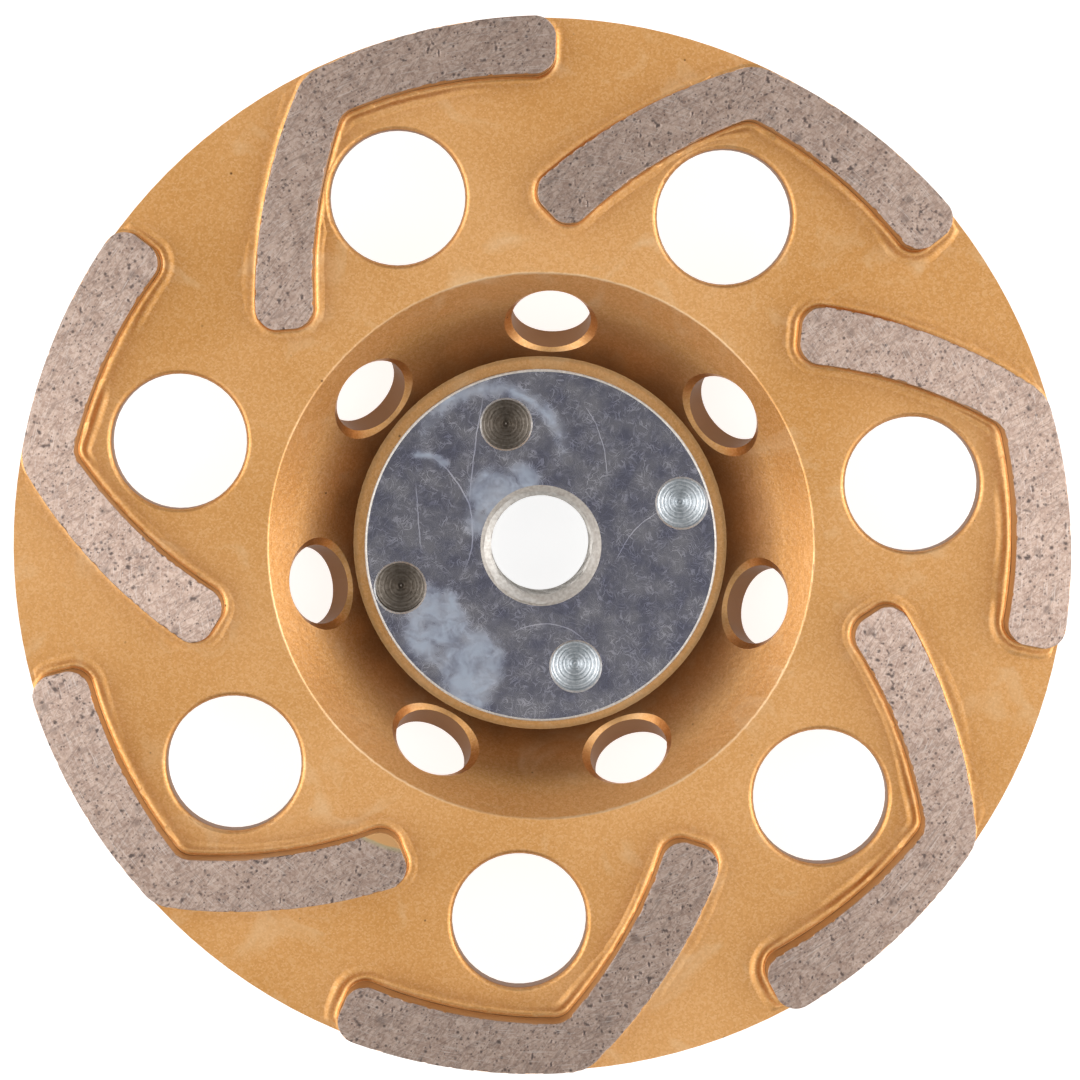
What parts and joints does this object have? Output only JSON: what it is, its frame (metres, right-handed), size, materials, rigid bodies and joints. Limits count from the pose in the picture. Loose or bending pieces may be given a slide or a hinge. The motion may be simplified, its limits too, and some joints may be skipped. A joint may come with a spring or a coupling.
{
  "type": "diamond cup wheel",
  "caption": "Gold painted steel cup wheel with bent diamond segments round its rim, vent and dust holes, and a plated hub threaded for an angle grinder spindle.",
  "frame": {"origin": "centre of the hub's back face, which seats on the spindle flange", "axes": "+Z along the wheel's axis towards its working side; +X and +Y across the wheel, with the first vent hole 9.5 degrees anticlockwise from +X"},
  "size_m": [0.125, 0.125, 0.0229],
  "materials": {
    "gold_paint": "gold metallic paint on steel, fine orange peel",
    "zinc_plate": "blue zinc plate on turned steel, scuffed",
    "sintered_diamond": "sintered metal with diamond grit, ground flat"
  },
  "bodies": {
    "root": {"cup_body": "gold_paint", "hub_insert": "zinc_plate", "diamond_segment_1": "sintered_diamond", "diamond_segment_2": "sintered_diamond", "diamond_segment_3": "sintered_diamond", "diamond_segment_4": "sintered_diamond", "diamond_segment_5": "sintered_diamond", "diamond_segment_6": "sintered_diamond", "diamond_segment_7": "sintered_diamond"}
  },
  "joints": []
}
